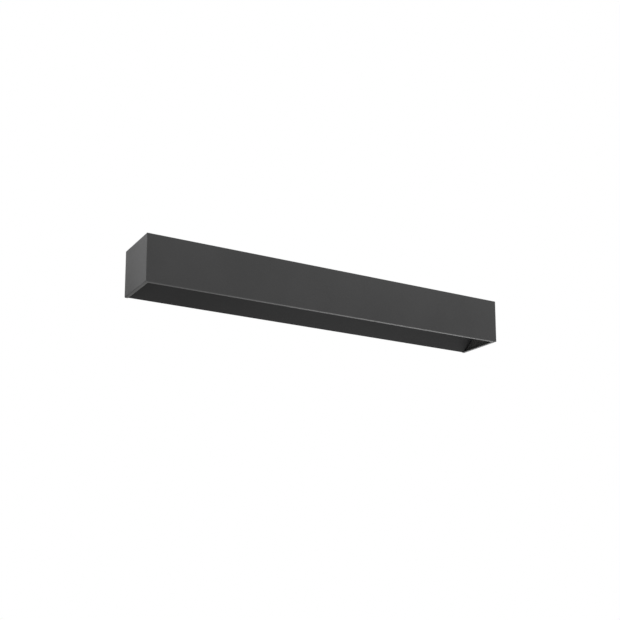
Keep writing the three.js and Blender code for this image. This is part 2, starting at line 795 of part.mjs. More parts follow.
function ledRoute(offset) {
  const [gx, gy] = ledGrommet;
  return [
    [driverLeft, -48 + offset, 15],
    [driverLeft - 6, -48 + offset, 15],
    [gx + 12, gy + offset, 14],
    [gx + 3, gy + offset, 12],
    [gx, gy + offset, 8],
    [gx, gy + offset, 3],
    [gx + 3, gy + offset, 0.8],
    [gx + 8, gy + offset, 0.8],
    [gx + 12, gy + offset, 1.2],
  ];
}

const [lugX, lugY] = earthPlace;
const earthRoute = [
  [leverX[2], blockFront, 10],
  [leverX[2], blockFront - 4, 10],
  [leverX[2] + 8, blockFront - 8, 9],
  [lugX - 3, lugY + 19, 7.3],
  [lugX, lugY + 15, trayTop + 1.9],
  [lugX, lugY + 10, trayTop + 1.9],
];

add("wire_line", tube(mainsRoute(leverX[0], 0), MAINS_WIRE, 24), brownWire);
add("wire_neutral", tube(mainsRoute(leverX[1], 4), MAINS_WIRE, 24), blueWire);
add("wire_earth", tube(earthRoute, MAINS_WIRE, 24), earthWire);
add("wire_led_positive", tube(ledRoute(1.3), LED_WIRE, 32), redWire);
add("wire_led_negative", tube(ledRoute(-1.3), LED_WIRE, 32), blackWire);

export default bar;
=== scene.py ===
"""Surfaces, finishes, lights and camera for a wall-mounted light bar that hangs over a mirror.

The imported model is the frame: folded and moulded pieces keep its shapes with eased edges, and
screws, nuts, grommets, wires, the lens, the capacitor, the choke and the phosphor on the light
source's chips are worked out here.
Lengths are metres, +Z is up, +X runs along the bar and the wall is the plane y = 0.
"""

import math
from functools import partial

import bmesh
import bpy
import numpy as np
from bpy.props import FloatProperty, FloatVectorProperty, IntProperty, PointerProperty
from bpy.types import Operator, Panel, PropertyGroup
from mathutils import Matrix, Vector


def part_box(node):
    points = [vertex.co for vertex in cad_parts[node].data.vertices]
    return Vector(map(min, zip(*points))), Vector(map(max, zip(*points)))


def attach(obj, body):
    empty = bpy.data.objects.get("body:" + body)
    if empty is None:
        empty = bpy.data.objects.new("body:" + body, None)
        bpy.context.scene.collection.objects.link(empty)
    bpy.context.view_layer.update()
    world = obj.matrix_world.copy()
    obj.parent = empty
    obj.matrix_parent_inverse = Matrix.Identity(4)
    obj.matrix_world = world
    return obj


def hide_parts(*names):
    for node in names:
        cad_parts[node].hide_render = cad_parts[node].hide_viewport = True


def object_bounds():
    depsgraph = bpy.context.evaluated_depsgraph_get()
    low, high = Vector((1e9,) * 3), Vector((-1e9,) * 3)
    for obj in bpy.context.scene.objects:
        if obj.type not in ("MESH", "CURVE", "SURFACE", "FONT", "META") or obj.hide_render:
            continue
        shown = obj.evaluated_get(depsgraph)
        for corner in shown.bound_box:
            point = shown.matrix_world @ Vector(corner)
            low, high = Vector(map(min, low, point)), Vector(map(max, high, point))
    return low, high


bl_info = {
    "name": "Light bar",
    "version": (1, 0, 0),
    "blender": (4, 5, 0),
    "location": "3D View > Sidebar > Light bar",
    "description": "Builds the surfaces and finishes of a wall-mounted light bar",
    "category": "Object",
}

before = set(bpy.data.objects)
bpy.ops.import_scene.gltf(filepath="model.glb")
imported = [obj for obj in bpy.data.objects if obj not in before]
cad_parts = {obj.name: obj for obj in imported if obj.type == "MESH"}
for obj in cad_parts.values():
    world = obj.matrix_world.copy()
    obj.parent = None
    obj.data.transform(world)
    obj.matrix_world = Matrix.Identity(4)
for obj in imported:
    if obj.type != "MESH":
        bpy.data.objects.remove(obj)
CAD_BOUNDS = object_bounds()
HOUSING = "housing"
MM = 0.001

# radius and height of the screws' heads
M3_HEAD = (0.0028, 0.0019)
M4_HEAD = (0.0039, 0.0024)
LOCK_HEAD = (0.0029, 0.0016)

DUST = (0.34, 0.33, 0.31, 1)
HANDLING_MARK = (0.42, 0.41, 0.38, 1)
RUBBER_BLOOM = (0.09, 0.09, 0.085, 1)


# ---- node trees as expressions ----


class Wire:
    """An output socket that adds Math nodes when it is used in an expression."""

    def __init__(self, tree, socket):
        self.tree = tree
        self.socket = socket

    def math(self, operation, first, second=None):
        values = {0: first} if second is None else {0: first, 1: second}
        return self.tree.node("ShaderNodeMath", {"operation": operation}, values)

    def __add__(self, other):
        return self.math("ADD", self, other)

    def __radd__(self, other):
        return self.math("ADD", other, self)

    def __sub__(self, other):
        return self.math("SUBTRACT", self, other)

    def __rsub__(self, other):
        return self.math("SUBTRACT", other, self)

    def __mul__(self, other):
        return self.math("MULTIPLY", self, other)

    def __rmul__(self, other):
        return self.math("MULTIPLY", other, self)

    def __abs__(self):
        return self.math("ABSOLUTE", self)

    def least(self, other):
        return self.math("MINIMUM", self, other)

    def fraction(self):
        return self.math("FRACT", self)

    def rise(self, low, high):
        """0 below low, 1 above high, and a smooth step between."""
        settings = {"interpolation_type": "SMOOTHSTEP", "clamp": True}
        values = {"Value": self, "From Min": low, "From Max": high}
        return self.tree.node("ShaderNodeMapRange", settings, values)

    def fall(self, low, high):
        return 1 - self.rise(low, high)


class Tree:
    """A material's nodes."""

    def __init__(self, name):
        self.material = bpy.data.materials.new(name)
        self.material.use_nodes = True
        self.nodes = self.material.node_tree.nodes
        self.links = self.material.node_tree.links
        self.nodes.clear()

    def node(self, kind, settings=None, values=None, output=0):
        """A node of a type: its settings are set first, then its sockets' values or links."""
        made = self.nodes.new(kind)
        for key, value in (settings or {}).items():
            setattr(made, key, value)
        for key, value in (values or {}).items():
            socket = self.find(made.inputs, key)
            if isinstance(value, Wire):
                self.links.new(value.socket, socket)
            else:
                socket.default_value = value
        return Wire(self, self.find(made.outputs, output))

    @staticmethod
    def find(sockets, key):
        shown = [s for s in sockets if s.enabled]
        if isinstance(key, int):
            return shown[key]
        return next(s for s in shown if s.name == key)

    def split(self, vector):
        """A vector's x, y and z."""
        parts = self.node("ShaderNodeSeparateXYZ", values={0: vector}).socket.node.outputs
        return [Wire(self, part) for part in parts]

    def place(self):
        """The point's x, y and z, in metres."""
        return self.split(self.node("ShaderNodeTexCoord", output="Object"))

    def point(self, stretch):
        """The point, stretched along its axes, for a pattern to read."""
        place = self.node("ShaderNodeTexCoord", output="Object")
        return self.node("ShaderNodeVectorMath", {"operation": "MULTIPLY"}, {0: place, 1: stretch})

    def noise(self, per_metre, detail=3.0, roughness=0.5, stretch=(1, 1, 1)):
        """Cloudy noise in 0 to 1, with a number of clouds to the metre."""
        values = {"Vector": self.point(stretch), "Scale": per_metre}
        values.update({"Detail": detail, "Roughness": roughness})
        return self.node("ShaderNodeTexNoise", values=values)

    def cells(self, per_metre, output="Distance", stretch=(1, 1, 1)):
        """Cells round scattered points: the distance to the point, or the cell's own colour."""
        values = {"Vector": self.point(stretch), "Scale": per_metre}
        return self.node("ShaderNodeTexVoronoi", values=values, output=output)

    def attribute(self, name):
        return self.node("ShaderNodeAttribute", {"attribute_name": name}, output="Fac")

    def facing_up(self):
        """1 on surfaces that look up, 0 on the others."""
        up = self.split(self.node("ShaderNodeNewGeometry", output="Normal"))[2]
        return up.rise(0.5, 0.95)

    def blend(self, share, first, second):
        """first where share is 0 and second where it is 1, as colours."""
        values = {"Factor": share, "A": first, "B": second}
        return self.node("ShaderNodeMix", {"data_type": "RGBA"}, values)

    def shades(self, share, colour, dark, light):
        """A colour times dark where share is 0, and times light where it is 1."""
        return self.blend(share, tone(colour, dark), tone(colour, light))

    def bump(self, height, depth):
        """Height in 0 to 1, times depth in metres."""
        values = {"Height": height, "Distance": depth, "Strength": 1.0}
        return self.node("ShaderNodeBump", values=values)

    def shade(self, colour, roughness, metallic=0.0, normal=None, **constants):
        """Ends the tree in a Principled shader, and gives the material."""
        values = {"Base Color": colour, "Roughness": roughness, "Metallic": metallic}
        if normal is not None:
            values["Normal"] = normal
        values.update({key.replace("_", " "): value for key, value in constants.items()})
        surface = self.node("ShaderNodeBsdfPrincipled", values=values)
        output = self.nodes.new("ShaderNodeOutputMaterial")
        self.links.new(surface.socket, output.inputs["Surface"])
        return self.material


def solid(colour):
    return (*colour, 1.0)


def tone(colour, factor):
    return (*(min(1.0, c * factor) for c in colour), 1.0)


# ---- finishes ----


def housing_coat(colour):
    """Fine-structured powder coat: small rounded grains, faint drifts of tone from the spray,
    a little thinner and smoother along the box's outer edges, with a trace of dust on top."""
    t = Tree("housing_coat")
    x, y, z = t.place()
    low, high = CAD_BOUNDS
    from_end = high[0] - abs(x)
    from_front = y - low[1]
    from_rim = high[2] - abs(z)
    pairs = [from_end + from_front, from_front + from_rim, from_end + from_rim]
    edge = pairs[0].least(pairs[1]).least(pairs[2]).fall(0.0003, 0.0016)
    drift = t.noise(9, 3, 0.55)
    grain = t.noise(1500, 2, 0.6)
    orange_peel = t.noise(420, 2, 0.5)
    speck = t.cells(520).fall(0.05, 0.32)
    dust = t.facing_up() * t.noise(90, 5, 0.65).rise(0.42, 0.75) * 0.03
    base = t.shades(drift.rise(0.3, 0.7), colour, 0.93, 1.07)
    base = t.blend(speck * 0.35, base, tone(colour, 1.6))
    base = t.blend(edge * 0.35, base, tone(colour, 1.6))
    base = t.blend(dust, base, DUST)
    roughness = 0.4 + drift * 0.08 + grain * 0.06 - edge * 0.06 + dust * 2
    normal = t.bump(grain + orange_peel, 0.00016)
    return t.shade(base, roughness, normal=normal, Specular_IOR_Level=0.2)


def baffle_coat(colour):
    """The anti-glare baffles' dead-matte coat, with fine grains and faint wipe marks."""
    t = Tree("baffle_coat")
    grain = t.noise(1800, 2, 0.6)
    wipe = t.noise(14, 4, 0.6, (0.25, 1, 1))
    base = t.shades(wipe.rise(0.35, 0.7), colour, 0.88, 1.12)
    base = t.blend(t.cells(600).fall(0.05, 0.3) * 0.3, base, tone(colour, 1.6))
    roughness = 0.62 + wipe * 0.12
    normal = t.bump(grain, 0.0001)
    return t.shade(base, roughness, normal=normal, Specular_IOR_Level=0.22)


def white_enamel(colour):
    """White reflecting paint on the chassis, with a light orange peel and grey handling marks."""
    t = Tree("white_enamel")
    peel = t.noise(260, 2, 0.45)
    mark = t.noise(35, 5, 0.7, (0.4, 1, 1)).rise(0.58, 0.78)
    base = t.blend(t.noise(12).rise(0.3, 0.7), tone(colour, 0.97), solid(colour))
    base = t.blend(mark * 0.18, base, HANDLING_MARK)
    roughness = 0.36 + mark * 0.2 + peel * 0.08
    return t.shade(base, roughness, normal=t.bump(peel, 0.00006))


def zinc_plate(colour):
    """Zinc-plated strip: crystal spangles of different brightness, fine rolling lines along X,
    and a few dull stains."""
    t = Tree("zinc_plate")
    spangle = t.cells(310, output="Color", stretch=(0.8, 1, 1))
    level = t.node("ShaderNodeRGBToBW", values={0: spangle})
    line = t.noise(700, 3, 0.6, (0.02, 1, 1))
    stain = t.noise(28, 5, 0.65).rise(0.56, 0.8)
    base = t.shades(level, colour, 0.86, 1.1)
    base = t.blend(stain * 0.4, base, tone(colour, 0.45))
    base = t.blend(line * 0.3, base, tone(colour, 0.8))
    roughness = 0.28 + level * 0.1 + stain * 0.2 + line * 0.08
    return t.shade(base, roughness, 1.0, t.bump(line, 0.00002))


def turned_steel(colour):
    """Bright plated screws and nuts, with fine turning marks and darker, duller patches."""
    t = Tree("turned_steel")
    mark = t.noise(2600, 2, 0.5, (0.3, 0.3, 1))
    dull = t.noise(320, 4, 0.6).rise(0.5, 0.75)
    base = t.blend(dull * 0.5, solid(colour), tone(colour, 0.55))
    roughness = 0.2 + mark * 0.12 + dull * 0.2
    return t.shade(base, roughness, 1.0, t.bump(mark, 0.00001))


def opal_acrylic(colour):
    """Satin opal acrylic: faint flow lines from the extrusion and a milky body."""
    t = Tree("opal_acrylic")
    flow = t.noise(240, 3, 0.5, (0.01, 1, 1))
    cloud = t.noise(22, 3, 0.5)
    base = t.shades(cloud.rise(0.3, 0.7), colour, 0.975, 1.01)
    base = t.blend(flow * 0.08, base, tone(colour, 0.88))
    roughness = 0.34 + flow * 0.08 + cloud * 0.06
    normal = t.bump(flow, 0.00003)
    return t.shade(base, roughness, normal=normal, Subsurface_Weight=0.12, Subsurface_Scale=0.004)


def moulded(name, colour, shine=0.5):
    """Injection-moulded plastic with a spark-eroded skin and faint flow marks."""
    t = Tree(name)
    skin = t.noise(1400, 2, 0.6)
    flow = t.noise(45, 4, 0.6)
    base = t.shades(flow.rise(0.3, 0.7), colour, 0.92, 1.06)
    base = t.blend(skin * 0.12, base, tone(colour, 0.8))
    roughness = shine + skin * 0.12 + flow * 0.06
    return t.shade(base, roughness, normal=t.bump(skin, 0.00004))


def solder_mask(name, colour, copper):
    """A circuit board: traces and pads show as faint raised lanes under the mask."""
    t = Tree(name)
    x, y, _z = t.place()
    lane = abs((x * 240).fraction() - 0.5).fall(0.1, 0.16)
    row = abs((y * 310).fraction() - 0.5).fall(0.08, 0.14)
    routed = t.noise(90, 1, 0.4).rise(0.48, 0.52)
    trace = lane * routed + row * (1 - routed)
    base = t.shades(t.noise(30).rise(0.3, 0.7), colour, 0.94, 1.04)
    base = t.blend(trace * 0.55, base, solid(copper))
    roughness = 0.3 + t.noise(500, 2) * 0.12 - trace * 0.05
    return t.shade(base, roughness, normal=t.bump(trace, 0.00003))


def ferrite_and_tape(colour, tape, centre, reach):
    """Sintered ferrite, with yellow tape where the winding stands out of the core along Y."""
    t = Tree("ferrite_and_tape")
    _x, y, z = t.place()
    taped = abs(y - centre).rise(reach, reach + 0.0002)
    pore = t.cells(1500).fall(0.1, 0.3)
    layer = (z * 2200).fraction().rise(0.1, 0.5)
    stone = t.blend(pore * 0.5, solid(colour), tone(colour, 0.5))
    wrap = t.blend(layer * 0.35, solid(tape), tone(tape, 0.72))
    roughness = 0.68 + pore * 0.1 - taped * 0.36
    normal = t.bump(pore * (1 - taped) + layer * taped, 0.00005)
    return t.shade(t.blend(taped, stone, wrap), roughness, normal=normal)


def winding_finish(core, copper):
    """Enamelled copper where the attribute wound is 1, and the painted core elsewhere."""
    t = Tree("winding_finish")
    wound = t.attribute("wound")
    mottle = t.noise(900, 3, 0.6)
    wire = t.shades(mottle, copper, 0.75, 1.15)
    stone = t.shades(mottle, core, 0.8, 1.2)
    roughness = 0.6 - wound * 0.35 + mottle * 0.1
    return t.shade(t.blend(wound, stone, wire), roughness, wound * 0.85)


def black_rubber(colour):
    """Moulded rubber with a fine bloom on its surface."""
    t = Tree("black_rubber")
    bloom = t.noise(160, 5, 0.7).rise(0.45, 0.8)
    skin = t.noise(2200, 2, 0.5)
    base = t.blend(bloom * 0.3, solid(colour), RUBBER_BLOOM)
    return t.shade(base, 0.7 + bloom * 0.15, normal=t.bump(skin, 0.00003), Specular_IOR_Level=0.3)


def insulation(name, colour, stripe=None):
    """Extruded PVC insulation; a stripe lies along it where the attribute side is near 1 or -1."""
    t = Tree(name)
    streak = t.noise(700, 3, 0.5)
    base = t.shades(streak, colour, 0.85, 1.12)
    if stripe is not None:
        base = t.blend(abs(t.attribute("side")).rise(0.62, 0.7), base, solid(stripe))
    return t.shade(base, 0.38 + streak * 0.12, normal=t.bump(streak, 0.00002))


def phosphor_gel(colour):
    """The yellow silicone over an LED's chip, with faint clouding."""
    t = Tree("phosphor_gel")
    cloud = t.noise(1600, 2, 0.5)
    base = t.shades(cloud, colour, 0.85, 1.12)
    return t.shade(base, 0.22 + cloud * 0.1, Coat_Weight=0.3)


def shrink_sleeve(colour, band):
    """A capacitor's glossy sleeve, with a pale polarity band down one side."""
    t = Tree("shrink_sleeve")
    ripple = t.noise(500, 3, 0.5)
    base = t.shades(ripple, colour, 0.8, 1.3)
    base = t.blend(t.attribute("side").rise(0.72, 0.78), base, solid(band))
    return t.shade(base, 0.22 + ripple * 0.14, normal=t.bump(ripple, 0.00003))


def studio_floor(colour):
    """Pale sealed floor with faint clouding."""
    t = Tree("studio_floor")
    cloud = t.noise(1.2, 5, 0.6)
    base = t.blend(cloud.rise(0.3, 0.7), tone(colour, 0.97), solid(colour))
    return t.shade(base, 0.75 + cloud * 0.1, Specular_IOR_Level=0.2)


def black_cloth(colour):
    """The studio's black card, with a woven nap."""
    t = Tree("black_cloth")
    nap = t.noise(900, 2, 0.6)
    return t.shade(t.shades(nap, colour, 0.6, 1.4), 1.0, Specular_IOR_Level=0)


# ---- meshes ----


def grid_faces(rows, columns, around=True, closed=False):
    """Quads between neighbouring points of a grid; around joins its last column to its first,
    and closed its last row to its first."""
    i, j = np.meshgrid(
        np.arange(rows if closed else rows - 1),
        np.arange(columns if around else columns - 1),
        indexing="ij",
    )
    down, across = (i + 1) % rows, (j + 1) % columns
    corners = [i * columns + j, i * columns + across, down * columns + across, down * columns + j]
    return np.stack(corners, -1).reshape(-1, 4)


def mesh_of(name, points, faces, attribute=None):
    """A mesh from a grid of points: doubles at poles and seams are merged and faces turned out."""
    mesh = bpy.data.meshes.new(name)
    mesh.from_pydata(np.reshape(points, (-1, 3)).tolist(), [], faces.tolist())
    if attribute is not None:
        key, values = attribute
        layer = mesh.attributes.new(key, "FLOAT", "POINT")
        layer.data.foreach_set("value", np.ravel(values).astype(np.float32))
    shape = bmesh.new()
    shape.from_mesh(mesh)
    bmesh.ops.remove_doubles(shape, verts=shape.verts, dist=1e-7)
    bmesh.ops.recalc_face_normals(shape, faces=shape.faces)
    shape.to_mesh(mesh)
    shape.free()
    return mesh


def eased_mesh(node):
    """A CAD node's triangles, merged, with its flat faces joined again."""
    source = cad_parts[node].data
    points = np.empty(len(source.vertices) * 3, np.float32)
    source.vertices.foreach_get("co", points)
    mesh = bpy.data.meshes.new(node + "_skin")
    corners = [tuple(face.vertices) for face in source.polygons]
    mesh.from_pydata(points.reshape(-1, 3).tolist(), [], corners)
    shape = bmesh.new()
    shape.from_mesh(mesh)
    bmesh.ops.remove_doubles(shape, verts=shape.verts, dist=2e-6)
    bmesh.ops.dissolve_limit(
        shape, angle_limit=math.radians(0.6), verts=shape.verts, edges=shape.edges
    )
    shape.to_mesh(mesh)
    shape.free()
    return mesh


def add_piece(mesh, material, nodes, sharp=32, body=HOUSING):
    """Puts a mesh into the scene on a body, in place of its CAD nodes."""
    mesh.materials.append(material)
    mesh.shade_smooth()
    mesh.set_sharp_from_angle(angle=math.radians(sharp))
    piece = bpy.data.objects.new(mesh.name, mesh)
    bpy.context.scene.collection.objects.link(piece)
    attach(piece, body)
    if nodes:
        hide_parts(*nodes)
    return piece


def add_surface(node, points, material, sharp, closed=False, attribute=None):
    """A grid of points whose rows are rings, on the housing, in place of a CAD node."""
    faces = grid_faces(*points.shape[:2], closed=closed)
    mesh = mesh_of(node + "_skin", points, faces, attribute)
    add_piece(mesh, material, [node], sharp)


def ease_edges(piece, width, steps):
    """Rounds the edges that turn by more than 35 degrees."""
    bevel = piece.modifiers.new("eased_edges", "BEVEL")
    bevel.width = width
    bevel.segments = steps
    bevel.limit_method = "ANGLE"
    bevel.angle_limit = math.radians(35)
    bevel.harden_normals = True
    bevel.use_clamp_overlap = True


def eased_pieces(nodes, material, width, body=HOUSING, steps=2):
    """CAD nodes' own shapes with eased edges."""
    for node in nodes:
        piece = add_piece(eased_mesh(node), material, [node], body=body)
        ease_edges(piece, width, steps)


def middle(node):
    low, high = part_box(node)
    return (low + high) / 2


# ---- shapes of two parameters ----


def hexagon(angle):
    """The distance to a regular hexagon's outline at an angle, for a flat-to-centre distance
    of 1: one over the cosine of the angle from the nearest flat's middle."""
    return 1 / np.cos(np.mod(angle, math.pi / 3) - math.pi / 6)


def full_turn(sides):
    """An even spread of angles from 0 up to a full turn."""
    return np.linspace(0, 2 * math.pi, sides, endpoint=False)


def turned(rows, sides):
    """Points at (radius cos a, radius sin a, height) for a profile's rows of radius and height
    and the angles a of a full turn; a radius may be a number, or have a value for each angle."""
    angle = full_turn(sides)
    radius, height = zip(*rows)
    radius = np.stack([np.broadcast_to(r, sides) for r in radius])
    height = np.broadcast_to(np.array(height)[:, None], radius.shape)
    return np.stack([radius * np.cos(angle), radius * np.sin(angle), height], -1)


def screw_surface(thread, reach, head_size, countersunk, sides=36):
    """A socket screw with its seat at z = 0. The profile runs from the middle of the socket's
    floor, up its hexagonal wall, over the head and down the shank to the tip; along the thread
    the radius is the shank's less a cosine wave of the height in pitches minus the angle."""
    shank, pitch = thread
    head, head_height = head_size
    top = 0.0 if countersunk else head_height
    floor = top - head_height * 0.6
    socket_flat, corner, thread_depth = head * 0.42, head * 0.22, pitch * 0.6
    land, mouth, broken_edge, tip = 0.0002, 0.0001, 0.00008, 0.00005
    wall = socket_flat * hexagon(full_turn(sides))
    rows = [(0, floor), (wall, floor), (wall, top - mouth), (wall * 1.04, top)]
    if countersunk:
        rows += [(head * 0.985, top), (head, top - broken_edge)]
        rows += [(head, -land), (shank, -head_height)]
    else:
        bend = np.linspace(0, math.pi / 2, 6)
        rows += zip(head - corner * (1 - np.sin(bend)), top - corner * (1 - np.cos(bend)))
        rows += [(head, land), (head - land, 0.0), (shank, 0.0)]
    start = top - head_height - pitch
    turns = np.arange(start, -reach + shank * 0.6, -pitch / 6)
    wave = np.cos(2 * math.pi * (turns[:, None] / pitch) - full_turn(sides))
    cut = thread_depth / 2 * (1 - wave)
    fade = np.clip((start - turns) / pitch, 0, 1)[:, None]
    rows += zip(shank - cut * fade, turns)
    rows += [(shank * 0.66, -reach + tip), (shank * 0.6, -reach), (0, -reach)]
    return turned(rows, sides)


def nut_surface(bore, flats, height, sides=48):
    """A hexagon nut under z = 0: its outside is a hexagon cut back by a 30 degree cone at the
    top and the bottom, and the profile closes through the bore."""
    outside = flats / 2 * hexagon(full_turn(sides))
    crown = flats / 2 * 0.97
    slope = math.tan(math.radians(30))
    level = np.linspace(0, 1, 7) * (outside.max() - crown) * slope
    cone = [np.minimum(outside, crown + z / slope) for z in level]
    chamfer = 0.0003
    rows = [(bore + chamfer, 0.0), *zip(cone, -level), *zip(cone[::-1], level[::-1] - height)]
    rows += [(bore + chamfer, -height), (bore, -height + chamfer), (bore, -chamfer)]
    return turned(rows, sides)


def grommet_surface(bore, hole, lip, half, sides=64):
    """A rubber ring in a sheet: two rounded lips and a waist in the hole. Each lip's edge is a
    superellipse, the cosine and the sine of an angle to one power, and the bore widens towards
    both mouths by the fourth power of the height."""
    fullness, funnel, room = 0.7, 0.0009, 0.0003
    t = np.linspace(-math.pi / 2, math.pi / 2, 13)
    lip_radius = hole + lip * np.cos(t) ** fullness
    lip_height = half + lip / 2 * (1 + np.sign(t) * np.abs(np.sin(t)) ** fullness)
    s = np.linspace(1, -1, 11)
    rows = [
        *zip(lip_radius, lip_height),
        *zip(bore + funnel * s**4, s * (half + lip) * 0.97),
        *zip(lip_radius, -lip_height[::-1]),
        *((hole - room, z) for z in (-half, 0.0, half)),
    ]
    return turned(rows, sides)


def catmull_rom(corners, count):
    """Points evenly numbered along the smooth curve through the corners, whose knots are
    spaced by the square root of the distance between corners."""
    corners = np.array(corners, float)
    p = np.vstack([2 * corners[0] - corners[1], corners, 2 * corners[-1] - corners[-2]])
    knots = np.concatenate([[0], np.cumsum(np.linalg.norm(np.diff(p, axis=0), axis=1) ** 0.5)])
    place = np.linspace(knots[1], knots[-2], count)
    k = np.clip(np.searchsorted(knots, place, side="right") - 1, 1, len(p) - 3)

    def between(a, b, low, high):
        share = ((place - low) / (high - low))[:, None]
        return a * (1 - share) + b * share

    t = [knots[k + n] for n in (-1, 0, 1, 2)]
    q = [p[k + n] for n in (-1, 0, 1, 2)]
    first = [between(q[n], q[n + 1], t[n], t[n + 1]) for n in range(3)]
    second = [between(first[n], first[n + 1], t[n], t[n + 2]) for n in range(2)]
    return between(second[0], second[1], t[1], t[2])


def side_of(points):
    """The cosine of the angle round each ring of points, for a stripe down one side."""
    return "side", np.broadcast_to(np.cos(full_turn(points.shape[1])), points.shape[:2])


def tube_surface(line, radius, sides=18):
    """A circle carried square to a line: its two axes are the line's direction crossed with a
    fixed direction, and that crossed with the line again. The ends close on the line."""
    aslant = [0.19, 0.31, 0.93]
    along = np.gradient(line, axis=0)
    along /= np.linalg.norm(along, axis=1)[:, None]
    side = np.cross(along, aslant)
    side /= np.linalg.norm(side, axis=1)[:, None]
    up = np.cross(side, along)
    angle = full_turn(sides)[:, None]
    ring = side[:, None] * np.cos(angle) + up[:, None] * np.sin(angle)
    rows = line[:, None] + radius * ring
    start = np.repeat(line[:1, None], sides, axis=1)
    finish = np.repeat(line[-1:, None], sides, axis=1)
    return np.concatenate([start, rows, finish])


def folded_section(corners, radius, thickness, steps=10):
    """The two sides of a folded sheet: its middle runs straight between corners and turns each
    inner corner on an arc, and the sides lie half the thickness from it along its normal."""
    corners = np.array(corners, float)
    unit = np.diff(corners, axis=0)
    unit /= np.linalg.norm(unit, axis=1)[:, None]
    runs = [corners[:1]]
    for corner, a, b in zip(corners[1:-1], unit[:-1], unit[1:]):
        side = np.sign(a[0] * b[1] - a[1] * b[0])
        turn = np.linspace(0, math.acos(np.clip(a @ b, -1, 1)), steps)
        start = corner - a * radius * math.tan(turn[-1] / 2)
        across = np.array([-a[1], a[0]]) * side
        runs.append(
            start + radius * (np.outer(np.sin(turn), a) + np.outer(1 - np.cos(turn), across))
        )
    path = np.concatenate([*runs, corners[-1:]])
    step = np.diff(path, axis=0)
    step /= np.linalg.norm(step, axis=1)[:, None]
    before, after = np.vstack([step[:1], step]), np.vstack([step, step[-1:]])
    reach = thickness / 2 / (1 + (before * after).sum(1))
    normal = np.stack([-(before + after)[:, 1], (before + after)[:, 0]], 1) * reach[:, None]
    return path + normal, path - normal


def carried_along_x(sides, stations):
    """A folded section carried along X: a grid of stations by outline points, closed at both
    ends by a strip between the section's two sides."""
    left, right = sides
    outline = np.concatenate([left, right[::-1]])
    rows, columns = len(stations), len(outline)
    points = np.empty((rows, columns, 3))
    points[:, :, 0] = np.array(stations)[:, None]
    points[:, :, 1:] = outline
    k = np.arange(len(left) - 1)
    cap = np.stack([k, k + 1, columns - 2 - k, columns - 1 - k], 1)
    faces = np.vstack([grid_faces(rows, columns), cap, cap[:, ::-1] + (rows - 1) * columns])
    return points, faces


def pillow_grid(centres, half, height, power=4, draw_in=0.28, count=9):
    """One soft square mound under each centre: its depth is the height times one minus a power
    of the distance along X, times one minus that power of the distance along Y, both as shares
    of the half width. Its corners are drawn in by the product of the two distances squared."""
    s = np.sin(np.linspace(-math.pi / 2, math.pi / 2, count))
    u, v = np.meshgrid(s, s, indexing="ij")
    corner = np.sqrt(np.clip(1 - draw_in * u**2 * v**2, 0, 1))
    depth = height * np.clip(1 - np.abs(u) ** power, 0, 1) * np.clip(1 - np.abs(v) ** power, 0, 1)
    mound = np.stack([u * half * corner, v * half * corner, -depth], -1)
    flat = mound * [1, 1, 0]
    pair = np.stack([mound, flat])
    points = np.asarray(centres)[:, None, None, None] + pair
    one = grid_faces(count, count, around=False)
    faces = np.vstack([one, one + count * count])
    shift = np.arange(len(centres))[:, None, None] * 2 * count * count
    return points, (faces[None] + shift).reshape(-1, 4)


# ---- sizes and colours that a user would change ----


def float_prop(text, name, default, **options):
    return FloatProperty(name=name, description=text, default=default, **options)


length_prop = partial(float_prop, unit="LENGTH", precision=5)
power_prop = partial(float_prop, unit="POWER")
angle_prop = partial(float_prop, subtype="ANGLE")


def count_prop(text, name, default):
    return IntProperty(name=name, description=text, default=default, min=1)


def colour_prop(text, name, default):
    return FloatVectorProperty(
        name=name, description=text, default=default, subtype="COLOR", size=3, min=0, max=1
    )


class LightBarStage(PropertyGroup):
    """Where the camera stands and how the studio is lit."""

    camera_place: FloatVectorProperty(
        name="Camera",
        description="Where the camera stands: low, left of the bar and in front of it",
        default=(-0.7472, -1.2926, -0.4698),
        subtype="TRANSLATION",
        unit="LENGTH",
    )
    heading: angle_prop("Turn to the right from facing the wall", "Heading", math.radians(29.98))
    pitch: angle_prop("How far the camera looks up", "Pitch", math.radians(9.54))
    lens: float_prop("Focal length", "Lens", 58.19, subtype="DISTANCE_CAMERA")
    rise: float_prop("Upward shift of the lens, as a share of the frame", "Lens rise", 0.22)
    floor_level: length_prop("Height of the studio floor", "Floor", -1.6)
    floor_reach: length_prop("Half the width of the studio floor", "Floor reach", 60.0)
    surround: float_prop("Brightness of the white studio around the bar", "Surround", 1.0)
    key_power: power_prop("Soft light at the left, in front", "Key light", 1.6)
    fill_power: power_prop("Soft light at the right, in front and above", "Fill light", 3.0)
    rim_power: power_prop("Light behind and to the right, which the rims mirror", "Rim light", 13.0)
    under_power: power_prop("Light below the bar, which the baffles mirror", "Under light", 1.5)
    end_power: power_prop("Strip light beside the left end's front edge", "End light", 0.082)


